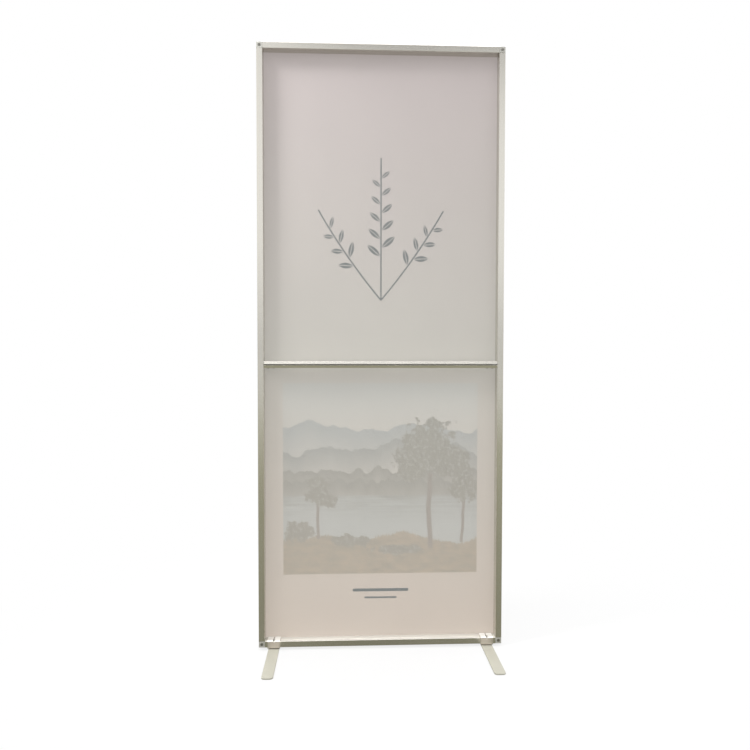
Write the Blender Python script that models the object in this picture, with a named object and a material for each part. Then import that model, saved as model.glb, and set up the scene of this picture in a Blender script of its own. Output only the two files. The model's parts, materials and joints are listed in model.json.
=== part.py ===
"""Fabric frame banner stand: an aluminium frame with a stretched print on its front and two feet that swivel.

Lengths are in metres. +Z is up from the floor. For someone behind the stand, +X is to the right and +Y
points through the frame to the printed front. The origin is on the floor, midway between the feet.
"""

import math

import bmesh
import bpy
from mathutils import Matrix, Vector
from mathutils.geometry import tessellate_polygon

# Frame
FRAME_WIDTH = 0.820
FRAME_HEIGHT = 2.000

# Rail profile, used for both rails and both stiles
RAIL_FACE = 0.020
RAIL_DEPTH = 0.035
RAIL_WALL = 0.0015
RAIL_EDGE_RADIUS = 0.001
GROOVE_WIDTH = 0.0038
GROOVE_DEPTH = 0.0155
ACCENT_FROM_REAR = 0.0125
ACCENT_WIDTH = 0.001
ACCENT_DEPTH = 0.0005

# Gap that neighbouring pieces keep
CLEARANCE = 0.0003

# Corner blocks and the bars inside them
BLOCK_REAR_WALL = 0.003
BLOCK_EDGE_RADIUS = 0.0006
JOINER_REACH = 0.060
CORNER_SCREW_DIAMETER = 0.005
CORNER_HEAD_DIAMETER = 0.010
CORNER_SOCKET_FLATS = 0.003
CORNER_SOCKET_DEPTH = 0.0018
CORNER_SCREW_TIP_WALL = 0.001

# Lock screws, which hold each rail or stile on its joiner bar
LOCK_SCREW_DIAMETER = 0.004
LOCK_SCREW_LENGTH = 0.010
LOCK_SCREW_FROM_END = 0.030
LOCK_SCREW_FROM_REAR = 0.0065
LOCK_SOCKET_FLATS = 0.002
LOCK_SOCKET_DEPTH = 0.0015

# Fabric and the silicone strips along its edges
FABRIC_THICKNESS = 0.0006
SILICONE_THICKNESS = 0.0025
SILICONE_WIDTH = 0.0143

# Crossbar profile and place
CROSSBAR_CENTRE = 0.9485
CROSSBAR_HEIGHT = 0.022
CROSSBAR_DEPTH = 0.022
CROSSBAR_WALL = 0.0015
CROSSBAR_SLOT_HEIGHT = 0.004
CROSSBAR_SLOT_DEPTH = 0.004
CROSSBAR_SLOT_BELOW_CENTRE = 0.0005
CROSSBAR_TOP_SLOPE = 0.004
CROSSBAR_BASE_SLOPE = 0.0015
CROSSBAR_LAND = 0.0006

# Angles inside the crossbar's ends
ANGLE_LEG = 0.042
ANGLE_THICKNESS = 0.002
ANGLE_FILLET = 0.002
ANGLE_SCREW_DIAMETER = 0.003
ANGLE_SCREW_LENGTH = 0.006
ANGLE_HEAD_DIAMETER = 0.0056
ANGLE_HEAD_HEIGHT = 0.0017
ANGLE_SOCKET_FLATS = 0.002
ANGLE_SOCKET_DEPTH = 0.001
CROSSBAR_SCREW_INSETS = (0.014, 0.032)
STILE_SCREW_FROM_REAR = 0.0095
STILE_SCREW_SPACING = 0.0075

# Feet
FOOT_LENGTH = 0.450
FOOT_WIDTH = 0.036
FOOT_THICKNESS = 0.004
FOOT_CORNER_RADIUS = 0.010
WASHER_DIAMETER = 0.020
WASHER_THICKNESS = 0.0015
PIVOT_DIAMETER = 0.006
PIVOT_HEAD_DIAMETER = 0.011
PIVOT_SOCKET_FLATS = 0.004
PIVOT_SOCKET_DEPTH = 0.002

# Clamps that hold the bottom rail
CLAMP_WIDTH = 0.042
CLAMP_THICKNESS = 0.003
CLAMP_FROM_FRONT = 0.002
CLAMP_SLOT_DROP = 0.003
CLAMP_HEAD_DIAMETER = 0.0076
CLAMP_HEAD_HEIGHT = 0.0022
CLAMP_RIM_DIAMETER = 0.0054
CLAMP_SOCKET_FLATS = 0.0025
CLAMP_SOCKET_DEPTH = 0.0013
CLAMP_SCREW_LENGTH = 0.014

# Fineness of the round shapes, and how far a cutter runs past what it cuts
ROUND_SEGMENTS = 24
ARC_STEPS = 5
CUT_PAST = 0.001
SHARP_ANGLE = math.radians(35)

# Levels and planes that follow from the sizes above
FRAME_DEPTH = RAIL_DEPTH + CLEARANCE + FABRIC_THICKNESS
REAR_Y = -FRAME_DEPTH / 2
RAIL_FRONT_Y = REAR_Y + RAIL_DEPTH
WASHER_Z = FOOT_THICKNESS + CLEARANCE
CLAMP_BASE_Z = WASHER_Z + WASHER_THICKNESS + CLEARANCE
FRAME_BASE_Z = CLAMP_BASE_Z + CLAMP_THICKNESS + CLEARANCE
FRAME_TOP_Z = FRAME_BASE_Z + FRAME_HEIGHT
FOOT_X = FRAME_WIDTH / 2 - RAIL_FACE - LOCK_SCREW_FROM_END

# Places across the rail profile: from its outer edge inward, and from its rear face forward
GROOVE_INNER = RAIL_WALL + GROOVE_WIDTH
GROOVE_FLOOR = RAIL_DEPTH - GROOVE_DEPTH
CHAMBER_INNER = RAIL_FACE - RAIL_WALL
CHAMBER_FRONT = GROOVE_FLOOR - RAIL_WALL
LAP_MIDDLE = (BLOCK_REAR_WALL + CHAMBER_FRONT) / 2

# Places of the crossbar, flush with the frame's rear, and of its hollow and the angles in that hollow's ends
CROSSBAR_FRONT_Y = REAR_Y + CROSSBAR_DEPTH
CROSSBAR_HALF_LENGTH = FRAME_WIDTH / 2 - RAIL_FACE - CLEARANCE
CROSSBAR_BASE_Z = FRAME_BASE_Z + CROSSBAR_CENTRE - CROSSBAR_HEIGHT / 2
HOLLOW_REAR_Y = REAR_Y + max(CROSSBAR_SLOT_DEPTH, CROSSBAR_TOP_SLOPE) + CROSSBAR_WALL
HOLLOW_FRONT_Y = CROSSBAR_FRONT_Y - CROSSBAR_WALL
ANGLE_BASE_Z = CROSSBAR_BASE_Z + CROSSBAR_WALL + CLEARANCE
ANGLE_HEIGHT = CROSSBAR_HEIGHT - 2 * (CROSSBAR_WALL + CLEARANCE)

# Levels of the two screws from an angle into its stile, above the fillet between the angle's legs
STILE_SCREW_MIDDLE = ANGLE_BASE_Z + (ANGLE_THICKNESS + ANGLE_FILLET + ANGLE_HEIGHT) / 2
STILE_SCREW_LEVELS = (STILE_SCREW_MIDDLE - STILE_SCREW_SPACING / 2, STILE_SCREW_MIDDLE + STILE_SCREW_SPACING / 2)

# The frame's four sides in a ring: name, turn about +Y, outer corner where the side starts, and length
SIDES = (
    ("left_stile", 0.0, (-FRAME_WIDTH / 2, REAR_Y, FRAME_BASE_Z), FRAME_HEIGHT),
    ("top_rail", math.pi / 2, (-FRAME_WIDTH / 2, REAR_Y, FRAME_TOP_Z), FRAME_WIDTH),
    ("right_stile", math.pi, (FRAME_WIDTH / 2, REAR_Y, FRAME_TOP_Z), FRAME_HEIGHT),
    ("bottom_rail", -math.pi / 2, (FRAME_WIDTH / 2, REAR_Y, FRAME_BASE_Z), FRAME_WIDTH),
)

# The corner where each side starts, and the names of the joiner bars that run into that side and the last one
CORNERS = (
    ("bottom_left", "stile_joiner", "rail_joiner"),
    ("top_left", "rail_joiner", "stile_joiner"),
    ("top_right", "stile_joiner", "rail_joiner"),
    ("bottom_right", "rail_joiner", "stile_joiner"),
)

# Colour, metallic value and roughness of each finish
FINISHES = {
    "anodised_aluminium": ((0.56, 0.55, 0.51), 1.0, 0.38),
    "cast_block": ((0.44, 0.44, 0.42), 1.0, 0.50),
    "mill_aluminium": ((0.60, 0.60, 0.60), 1.0, 0.55),
    "zinc_steel": ((0.30, 0.30, 0.30), 1.0, 0.42),
    "painted_steel": ((0.62, 0.61, 0.54), 0.0, 0.45),
    "clamp_steel": ((0.47, 0.44, 0.37), 1.0, 0.40),
    "nylon": ((0.80, 0.79, 0.75), 0.0, 0.50),
    "silicone": ((0.75, 0.75, 0.73), 0.0, 0.60),
    "polyester": ((0.60, 0.57, 0.55), 0.0, 0.90),
}


def clear_scene():
    """Removes every object that the scene starts with."""
    for obj in list(bpy.data.objects):
        bpy.data.objects.remove(obj, do_unlink=True)


def make_material(name):
    """A material with one finish's colour, metallic value and roughness."""
    colour, metallic, roughness = FINISHES[name]
    material = bpy.data.materials.new(name)
    material.use_nodes = True
    shader = material.node_tree.nodes["Principled BSDF"]
    shader.inputs["Base Color"].default_value = (*colour, 1.0)
    shader.inputs["Metallic"].default_value = metallic
    shader.inputs["Roughness"].default_value = roughness
    return material


def add_object(name, bm, finish, location=(0, 0, 0), turn=0.0, parent=None, smooth=False):
    """Turns a bmesh into an object at a place, turned about the Y axis, with its finish."""
    mesh = bpy.data.meshes.new(name)
    bmesh.ops.recalc_face_normals(bm, faces=bm.faces[:])
    bm.to_mesh(mesh)
    bm.free()
    if smooth:
        mesh.shade_smooth()
        mesh.set_sharp_from_angle(angle=SHARP_ANGLE)
    obj = bpy.data.objects.new(name, mesh)
    obj.location = location
    obj.rotation_euler = (0, turn, 0)
    obj.parent = parent
    bpy.context.scene.collection.objects.link(obj)
    if finish:
        mesh.materials.append(bpy.data.materials.get(finish) or make_material(finish))
    return obj


def joined(shapes):
    """One bmesh with all the shapes, which keep apart from each other."""
    whole = shapes[0]
    for shape in shapes[1:]:
        mesh = bpy.data.meshes.new("joined")
        shape.to_mesh(mesh)
        shape.free()
        whole.from_mesh(mesh)
        bpy.data.meshes.remove(mesh)
    return whole


def cut(target, *shapes):
    """Cuts shapes that are apart from each other, given in the target's own axes, out of the target."""
    name = f"{target.name}_cutter"
    turn = target.rotation_euler.y
    cutter = add_object(name, joined(shapes), None, target.location, turn, target.parent)
    cutter.hide_render = True
    cutter.display_type = "WIRE"
    modifier = target.modifiers.new("Cut", "BOOLEAN")
    modifier.operation = "DIFFERENCE"
    modifier.solver = "EXACT"
    modifier.object = cutter


def turn_axis(bm, axis):
    """Turns a shape built along +Z so that it runs along +X, +Y or +Z, with the other two axes in order."""
    ways = {
        "X": Matrix(((0, 0, 1, 0), (1, 0, 0, 0), (0, 1, 0, 0), (0, 0, 0, 1))),
        "Y": Matrix(((1, 0, 0, 0), (0, 0, 1, 0), (0, 1, 0, 0), (0, 0, 0, 1))),
        "Z": Matrix.Identity(4),
    }
    bmesh.ops.transform(bm, matrix=ways[axis], verts=bm.verts[:])


def prism(loops, low, high, axis):
    """A straight bar with the outline, and any holes, of the loops, from low to high along an axis."""
    bm = bmesh.new()
    ends = []
    for height in (low, high):
        ends.append([[bm.verts.new((*point, height)) for point in loop] for loop in loops])
    for lower, upper in zip(*ends):
        for index, vert in enumerate(lower):
            bm.faces.new((lower[index - 1], vert, upper[index], upper[index - 1]))
    if len(loops) == 1:
        caps = [range(len(loops[0]))]
    else:
        caps = tessellate_polygon([[Vector((*point, 0)) for point in loop] for loop in loops])
    for end in ends:
        verts = [vert for loop in end for vert in loop]
        for cap in caps:
            bm.faces.new([verts[index] for index in cap])
    turn_axis(bm, axis)
    return bm


def box(low, high):
    """A block between two opposite corners."""
    outline = rectangle(low[0], low[1], high[0], high[1])
    return prism([outline], low[2], high[2], "Z")


def rectangle(left, base, right, top):
    return [(left, base), (right, base), (right, top), (left, top)]


def arc(centre, radius, start, end):
    """Points on an arc, from one angle to another in degrees."""
    angles = [math.radians(start + (end - start) * step / ARC_STEPS) for step in range(ARC_STEPS + 1)]
    return [(centre[0] + radius * math.cos(a), centre[1] + radius * math.sin(a)) for a in angles]


def circle_ring(radius):
    return [radius] * ROUND_SEGMENTS


def circle(radius):
    """Points on a circle about the middle."""
    angles = [2 * math.pi * step / ROUND_SEGMENTS for step in range(ROUND_SEGMENTS)]
    return [(radius * math.cos(a), radius * math.sin(a)) for a in angles]


def hexagon_ring(flats):
    """Radii that trace a hexagon, given the distance between its flats."""
    radii = []
    for step in range(ROUND_SEGMENTS):
        within = (360 * step / ROUND_SEGMENTS) % 60 - 30
        radii.append(flats / 2 / math.cos(math.radians(within)))
    return radii


def turned(profile, axis, centre):
    """A turned piece: a stack of rings, each a (radii, height) pair, between two ends on the axis.

    The first and last entries are the heights of the end points. The rings run from the first end,
    round the outside, to the last end, and centre is the place of height zero on the axis.
    """
    bm = bmesh.new()
    first = bm.verts.new((0, 0, profile[0]))
    last = bm.verts.new((0, 0, profile[-1]))
    rings = []
    for radii, height in profile[1:-1]:
        ring = []
        for step, radius in enumerate(radii):
            angle = 2 * math.pi * step / ROUND_SEGMENTS
            ring.append(bm.verts.new((radius * math.cos(angle), radius * math.sin(angle), height)))
        rings.append(ring)
    for step in range(ROUND_SEGMENTS):
        after = (step + 1) % ROUND_SEGMENTS
        bm.faces.new((first, rings[0][after], rings[0][step]))
        bm.faces.new((last, rings[-1][step], rings[-1][after]))
        for lower, upper in zip(rings, rings[1:]):
            bm.faces.new((lower[step], lower[after], upper[after], upper[step]))
    turn_axis(bm, axis)
    bmesh.ops.translate(bm, vec=centre, verts=bm.verts[:])
    return bm


def rod(radius, low, high, axis, centre):
    """A plain round rod."""
    return turned([low, (circle_ring(radius), low), (circle_ring(radius), high), high], axis, centre)


def socket_rings(top, flats, depth):
    """The last rings and the end point of a piece with a hexagon socket sunk into its flat top."""
    return [(hexagon_ring(flats), top), (hexagon_ring(flats), top - depth), top - depth]


def rail_section():
    """The rail's outline and its two chambers, as (distance from outer edge, distance from rear) points."""
    radius = RAIL_EDGE_RADIUS
    outline = arc((radius, radius), radius, 180, 270)
    outline += arc((RAIL_FACE - radius, radius), radius, 270, 360)
    outline += [
        (RAIL_FACE, ACCENT_FROM_REAR - ACCENT_WIDTH / 2),
        (RAIL_FACE - ACCENT_DEPTH, ACCENT_FROM_REAR),
        (RAIL_FACE, ACCENT_FROM_REAR + ACCENT_WIDTH / 2),
        (RAIL_FACE, RAIL_DEPTH),
        (GROOVE_INNER, RAIL_DEPTH),
        (GROOVE_INNER, GROOVE_FLOOR),
        (RAIL_WALL, GROOVE_FLOOR),
        (RAIL_WALL, RAIL_DEPTH),
        (0, RAIL_DEPTH),
    ]
    rear_chamber = rectangle(RAIL_WALL, RAIL_WALL, CHAMBER_INNER, CHAMBER_FRONT)
    front_left = GROOVE_INNER + RAIL_WALL
    front_chamber = rectangle(front_left, GROOVE_FLOOR, CHAMBER_INNER, RAIL_DEPTH - RAIL_WALL)
    return [outline, rear_chamber, front_chamber]


def side_screw_hole(radius, depth_place, along):
    """A hole through a side's inner wall."""
    low = CHAMBER_INNER - CUT_PAST
    return rod(radius, low, RAIL_FACE + CUT_PAST, "X", (0, depth_place, along))


def make_sides():
    """Both rails and both stiles: hollow bars with holes for the lock screws and the crossbar's angles."""
    start = RAIL_FACE + CLEARANCE
    lock_radius = LOCK_SCREW_DIAMETER / 2 + CLEARANCE
    angle_radius = ANGLE_SCREW_DIAMETER / 2 + CLEARANCE
    for name, turn, corner, length in SIDES:
        bar = prism(rail_section(), start, length - start, "Z")
        side = add_object(name, bar, "anodised_aluminium", corner, turn, smooth=True)
        places = [RAIL_FACE + LOCK_SCREW_FROM_END, length - RAIL_FACE - LOCK_SCREW_FROM_END]
        holes = [side_screw_hole(lock_radius, LOCK_SCREW_FROM_REAR, place) for place in places]
        if name.endswith("stile"):
            for level in STILE_SCREW_LEVELS:
                height = level - FRAME_BASE_Z
                along = height if name == "left_stile" else length - height
                holes.append(side_screw_hole(angle_radius, STILE_SCREW_FROM_REAR, along))
        cut(side, *holes)


def corner_screw_rings(grow, tip):
    """The corner screw's outside, or its hole's when grow is above zero, from its head at zero to its tip."""
    head = CORNER_HEAD_DIAMETER / 2 + grow
    shank = circle_ring(CORNER_SCREW_DIAMETER / 2 + grow)
    return [(circle_ring(head), 0), (shank, head - CORNER_SCREW_DIAMETER / 2 - grow), (shank, tip)]


def make_block(name, corner, turn):
    """A cast corner block with room for both joiner bars and a groove for the fabric's edge."""
    face = RAIL_FACE
    past = face + CUT_PAST
    body = prism([rectangle(0, 0, face, face)], 0, RAIL_DEPTH, "Y")
    block = add_object(name, body, "cast_block", corner, turn)
    bevel = block.modifiers.new("Edges", "BEVEL")
    bevel.width = BLOCK_EDGE_RADIUS
    bevel.segments = 1
    bevel.limit_method = "ANGLE"
    low, high = RAIL_WALL, CHAMBER_INNER
    room = [(low, low), (past, low), (past, high), (high, high), (high, past), (low, past)]
    inner = GROOVE_INNER
    groove = [(low, low), (past, low), (past, inner), (inner, inner), (inner, past), (low, past)]
    cut(
        block,
        prism([room], BLOCK_REAR_WALL, CHAMBER_FRONT, "Y"),
        prism([groove], GROOVE_FLOOR, RAIL_DEPTH + CUT_PAST, "Y"),
    )
    rings = corner_screw_rings(CLEARANCE, BLOCK_REAR_WALL + CUT_PAST)
    outer = (rings[0][0], -CUT_PAST)
    hole = [-CUT_PAST, outer, *rings, rings[-1][1]]
    cut(block, turned(hole, "Y", (face / 2, 0, face / 2)))


def make_joiner(name, corner, turn, into_side):
    """A solid bar that runs into one side's rear chamber, halved where it crosses the other bar in the block.

    into_side is true for the bar that runs into the side which starts at this corner. That bar takes
    the rear half of the block's room, and the other bar takes the front half.
    """
    rear = RAIL_WALL + CLEARANCE
    front = CHAMBER_FRONT - CLEARANCE
    start = rear
    step = RAIL_FACE + CLEARANCE
    end = RAIL_FACE + JOINER_REACH
    middle = RAIL_FACE / 2
    along = RAIL_FACE + LOCK_SCREW_FROM_END
    if into_side:
        lap_rear = BLOCK_REAR_WALL + CLEARANCE
        lap_front = LAP_MIDDLE - CLEARANCE / 2
        outline = [(lap_rear, start), (lap_front, start), (lap_front, step), (front, step)]
        outline += [(front, end), (rear, end), (rear, step), (lap_rear, step)]
        axis = "X"
        lock_centre = (0, LOCK_SCREW_FROM_REAR, along)
    else:
        lap_rear = LAP_MIDDLE + CLEARANCE / 2
        outline = [(start, lap_rear), (start, front), (end, front), (end, rear), (step, rear)]
        outline += [(step, lap_rear)]
        axis = "Z"
        lock_centre = (along, LOCK_SCREW_FROM_REAR, 0)
    bar = prism([outline], rear, CHAMBER_INNER - CLEARANCE, axis)
    joiner = add_object(name, bar, "mill_aluminium", corner, turn)
    corner_radius = CORNER_SCREW_DIAMETER / 2 + CLEARANCE
    lock_radius = LOCK_SCREW_DIAMETER / 2 + CLEARANCE
    cut(
        joiner,
        rod(corner_radius, 0, RAIL_DEPTH, "Y", (middle, 0, middle)),
        rod(lock_radius, 0, RAIL_FACE, axis, lock_centre),
    )


def make_corner_screw(name, corner, turn):
    tip = CHAMBER_FRONT - CLEARANCE - CORNER_SCREW_TIP_WALL
    rings = corner_screw_rings(0, tip)
    floor = CORNER_SOCKET_DEPTH
    socket = hexagon_ring(CORNER_SOCKET_FLATS)
    middle = (RAIL_FACE / 2, 0, RAIL_FACE / 2)
    bm = turned([floor, (socket, floor), (socket, 0), *rings, tip], "Y", middle)
    add_object(name, bm, "zinc_steel", corner, turn, smooth=True)


def make_lock_screw(name, corner, turn, axis, along):
    """A headless screw, just under the rail's inner face, that reaches into the joiner bar."""
    top = RAIL_FACE - CLEARANCE
    tip = top - LOCK_SCREW_LENGTH
    shank = circle_ring(LOCK_SCREW_DIAMETER / 2)
    socket = socket_rings(top, LOCK_SOCKET_FLATS, LOCK_SOCKET_DEPTH)
    centre = (0, LOCK_SCREW_FROM_REAR, along) if axis == "X" else (along, LOCK_SCREW_FROM_REAR, 0)
    bm = turned([tip, (shank, tip), (shank, top), *socket], axis, centre)
    add_object(name, bm, "zinc_steel", corner, turn, smooth=True)


def make_corners():
    """The corner blocks, with the joiner bars and screws in them."""
    for (place, into_name, last_name), side in zip(CORNERS, SIDES):
        _, turn, corner, _ = side
        make_block(f"corner_block_{place}", corner, turn)
        make_joiner(f"{into_name}_{place}", corner, turn, True)
        make_joiner(f"{last_name}_{place}", corner, turn, False)
        make_corner_screw(f"corner_screw_{place}", corner, turn)
        along = RAIL_FACE + LOCK_SCREW_FROM_END
        # The bottom rail's joiner bars are locked by the screws of the foot clamps.
        if place != "bottom_right":
            kind = into_name.split("_")[0]
            make_lock_screw(f"{kind}_lock_screw_{place}", corner, turn, "X", along)
        if place != "bottom_left":
            kind = last_name.split("_")[0]
            make_lock_screw(f"{kind}_lock_screw_{place}", corner, turn, "Z", along)


def make_fabric():
    """The printed fabric, stretched flat over the front, and the silicone strips sewn along its edges."""
    half_width = FRAME_WIDTH / 2 - RAIL_WALL - CLEARANCE
    base = FRAME_BASE_Z + RAIL_WALL + CLEARANCE
    top = FRAME_TOP_Z - RAIL_WALL - CLEARANCE
    rear = RAIL_FRONT_Y + CLEARANCE
    low = (-half_width, rear, base)
    high = (half_width, rear + FABRIC_THICKNESS, top)
    add_object("fabric_panel", box(low, high), "polyester")
    inner = GROOVE_INNER - CLEARANCE
    outer = inner - SILICONE_THICKNESS
    floor = GROOVE_FLOOR + CLEARANCE
    names = ("left", "top", "right", "bottom")
    for name, (_, turn, corner, length) in zip(names, SIDES):
        start = (outer, floor, outer)
        end = (inner, floor + SILICONE_WIDTH, length - inner - CLEARANCE)
        add_object(f"silicone_edge_{name}", box(start, end), "silicone", corner, turn)


def crossbar_section():
    """The crossbar's outline and its hollow: a slope above a slot, and a shallower slope below it."""
    rear, front = REAR_Y, CROSSBAR_FRONT_Y
    base, top = CROSSBAR_BASE_Z, CROSSBAR_BASE_Z + CROSSBAR_HEIGHT
    slot_middle = (base + top) / 2 - CROSSBAR_SLOT_BELOW_CENTRE
    slot_base = slot_middle - CROSSBAR_SLOT_HEIGHT / 2
    slot_top = slot_middle + CROSSBAR_SLOT_HEIGHT / 2
    slot_floor = rear + CROSSBAR_SLOT_DEPTH
    outline = [
        (front, base),
        (front, top),
        (rear + CROSSBAR_TOP_SLOPE, top),
        (rear, slot_top + CROSSBAR_LAND),
        (rear, slot_top),
        (slot_floor, slot_top),
        (slot_floor, slot_base),
        (rear, slot_base),
        (rear, slot_base - CROSSBAR_LAND),
        (rear + CROSSBAR_BASE_SLOPE, base),
    ]
    wall = CROSSBAR_WALL
    return [outline, rectangle(HOLLOW_REAR_Y, base + wall, HOLLOW_FRONT_Y, top - wall)]


def make_angle_screw(name, place, axis, way, under=0.0):
    """A screw whose head is way, +1 or -1, along the axis from its place, past the thickness under it."""
    neck = under + CLEARANCE
    top = way * (neck + ANGLE_HEAD_HEIGHT)
    tip = way * (neck - ANGLE_SCREW_LENGTH)
    floor = way * (neck + ANGLE_HEAD_HEIGHT - ANGLE_SOCKET_DEPTH)
    shank = circle_ring(ANGLE_SCREW_DIAMETER / 2)
    head = circle_ring(ANGLE_HEAD_DIAMETER / 2)
    socket = hexagon_ring(ANGLE_SOCKET_FLATS)
    profile = [tip, (shank, tip), (shank, way * neck), (head, way * neck), (head, top)]
    profile += [(socket, top), (socket, floor), floor]
    add_object(name, turned(profile, axis, place), "zinc_steel", smooth=True)


def make_crossbar_end(side, way):
    """The angle inside one end of the crossbar, and its screws; way is -1 on the left and +1 on the right."""
    face = way * CROSSBAR_HALF_LENGTH
    thick = ANGLE_THICKNESS
    outline = [(0, 0), (0, ANGLE_HEIGHT), (-thick, ANGLE_HEIGHT)]
    outline += arc((-thick - ANGLE_FILLET, thick + ANGLE_FILLET), ANGLE_FILLET, 0, -90)
    outline += [(-ANGLE_LEG, thick), (-ANGLE_LEG, 0)]
    outline = [(face + way * x, ANGLE_BASE_Z + z) for x, z in outline]
    angle_shape = prism([outline], HOLLOW_REAR_Y + CLEARANCE, HOLLOW_FRONT_Y - CLEARANCE, "Y")
    angle = add_object(f"crossbar_angle_{side}", angle_shape, "zinc_steel", smooth=True)
    radius = ANGLE_SCREW_DIAMETER / 2 + CLEARANCE
    past = thick + CUT_PAST
    holes = []
    for number, level in enumerate(STILE_SCREW_LEVELS, 1):
        place = (face, REAR_Y + STILE_SCREW_FROM_REAR, level)
        holes.append(rod(radius, -way * past, way * CUT_PAST, "X", place))
        make_angle_screw(f"stile_screw_{side}_{number}", place, "X", -way, thick)
    for number, place in enumerate(crossbar_screw_places(way), 1):
        holes.append(rod(radius, 0, ANGLE_BASE_Z + past - CROSSBAR_BASE_Z, "Z", place))
        make_angle_screw(f"crossbar_screw_{side}_{number}", place, "Z", -1)
    cut(angle, *holes)


def crossbar_screw_places(way):
    """Where the screws enter one end of the crossbar from below; way is -1 on the left and +1 on the right."""
    middle = (HOLLOW_REAR_Y + HOLLOW_FRONT_Y) / 2
    return [(way * (CROSSBAR_HALF_LENGTH - inset), middle, CROSSBAR_BASE_Z) for inset in CROSSBAR_SCREW_INSETS]


def make_crossbar():
    """The crossbar between the stiles, with an angle inside each end."""
    bar = prism(crossbar_section(), -CROSSBAR_HALF_LENGTH, CROSSBAR_HALF_LENGTH, "X")
    crossbar = add_object("crossbar", bar, "anodised_aluminium")
    radius = ANGLE_SCREW_DIAMETER / 2 + CLEARANCE
    places = crossbar_screw_places(-1) + crossbar_screw_places(1)
    cut(crossbar, *[rod(radius, -CUT_PAST, CROSSBAR_WALL + CUT_PAST, "Z", place) for place in places])
    make_crossbar_end("left", -1)
    make_crossbar_end("right", 1)


def pivot_rings(grow, top, tip):
    """The pivot screw's outside, or its hole's when grow is above zero, from its tip up to its head."""
    shank = PIVOT_DIAMETER / 2 + grow
    head = PIVOT_HEAD_DIAMETER / 2 + grow
    return [(circle_ring(shank), tip), (circle_ring(shank), top - head + shank), (circle_ring(head), top)]


def clamp_section():
    """The clamp's outline from its side: tabs over the rail, a web behind it and a base under it."""
    radius = RAIL_EDGE_RADIUS
    inner = radius + CLEARANCE
    outer = inner + CLAMP_THICKNESS
    rail_top = FRAME_BASE_Z + RAIL_FACE
    upper = (REAR_Y + radius, rail_top - radius)
    lower = (REAR_Y + radius, FRAME_BASE_Z + radius)
    end = RAIL_FRONT_Y - CLAMP_FROM_FRONT
    outline = [(end, upper[1] + outer)]
    outline += arc(upper, outer, 90, 180)
    outline += arc(lower, outer, 180, 270)
    outline += [(end, lower[1] - outer), (end, lower[1] - inner)]
    outline += arc(lower, inner, 270, 180)
    outline += arc(upper, inner, 180, 90)
    outline += [(end, upper[1] + inner)]
    return outline


def make_clamp(side, x):
    """The bent clamp that grips the bottom rail, and the screw between its two tabs."""
    bm = prism([clamp_section()], x - CLAMP_WIDTH / 2, x + CLAMP_WIDTH / 2, "X")
    clamp = add_object(f"foot_clamp_{side}", bm, "clamp_steel", smooth=True)
    rail_top = FRAME_BASE_Z + RAIL_FACE
    half_slot = LOCK_SCREW_DIAMETER / 2 + CLEARANCE
    low = (x - half_slot, REAR_Y - CLEARANCE - CLAMP_THICKNESS - CUT_PAST, rail_top - CLAMP_SLOT_DROP)
    tab_top = rail_top + CLEARANCE + CLAMP_THICKNESS
    high = (x + half_slot, RAIL_FRONT_Y - CLAMP_FROM_FRONT + CUT_PAST, tab_top + CUT_PAST)
    top = CLAMP_BASE_Z + CLAMP_THICKNESS
    under = CLAMP_BASE_Z - CUT_PAST
    above = top + CUT_PAST
    rings = pivot_rings(CLEARANCE, top - CLEARANCE, under)
    hole = [under, *rings, (rings[-1][0], above), above]
    cut(clamp, box(low, high), turned(hole, "Z", (x, 0, 0)))
    make_clamp_screw(side, x, tab_top + CLEARANCE)


def make_clamp_screw(side, x, neck):
    """The round-headed screw that holds a clamp's tabs down and reaches the joiner bar in the rail."""
    crown = neck + CLAMP_HEAD_HEIGHT
    shoulder = neck + CLAMP_HEAD_HEIGHT / 2
    tip = neck - CLAMP_SCREW_LENGTH
    shank = circle_ring(LOCK_SCREW_DIAMETER / 2)
    head = circle_ring(CLAMP_HEAD_DIAMETER / 2)
    rim = circle_ring(CLAMP_RIM_DIAMETER / 2)
    socket = socket_rings(crown, CLAMP_SOCKET_FLATS, CLAMP_SOCKET_DEPTH)
    profile = [tip, (shank, tip), (shank, neck), (head, neck), (head, shoulder), (rim, crown), *socket]
    centre = (x, REAR_Y + LOCK_SCREW_FROM_REAR, 0)
    add_object(f"clamp_screw_{side}", turned(profile, "Z", centre), "zinc_steel", smooth=True)


def foot_outline():
    """The foot plate seen from above, with rounded corners."""
    radius = FOOT_CORNER_RADIUS
    x = FOOT_WIDTH / 2 - radius
    y = FOOT_LENGTH / 2 - radius
    corners = ((x, y, 0), (-x, y, 90), (-x, -y, 180), (x, -y, 270))
    outline = []
    for corner_x, corner_y, start in corners:
        outline += arc((corner_x, corner_y), radius, start, start + 90)
    return outline


def make_foot(side, x):
    """A foot plate with its washer and pivot screw, which turn together about the screw."""
    pivot = bpy.data.objects.new(f"foot_swivel_{side}", None)
    pivot.location = (x, 0, 0)
    bpy.context.scene.collection.objects.link(pivot)
    hole = circle(PIVOT_DIAMETER / 2 + CLEARANCE)
    plate = prism([foot_outline(), hole], 0, FOOT_THICKNESS, "Z")
    add_object(f"foot_plate_{side}", plate, "painted_steel", parent=pivot, smooth=True)
    rim = circle(WASHER_DIAMETER / 2)
    washer = prism([rim, hole], WASHER_Z, WASHER_Z + WASHER_THICKNESS, "Z")
    add_object(f"foot_washer_{side}", washer, "nylon", parent=pivot, smooth=True)

    top = CLAMP_BASE_Z + CLAMP_THICKNESS - CLEARANCE
    socket = socket_rings(top, PIVOT_SOCKET_FLATS, PIVOT_SOCKET_DEPTH)
    profile = [CLEARANCE, *pivot_rings(0, top, CLEARANCE), *socket]
    screw_shape = turned(profile, "Z", (0, 0, 0))
    add_object(f"pivot_screw_{side}", screw_shape, "zinc_steel", parent=pivot, smooth=True)


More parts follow.
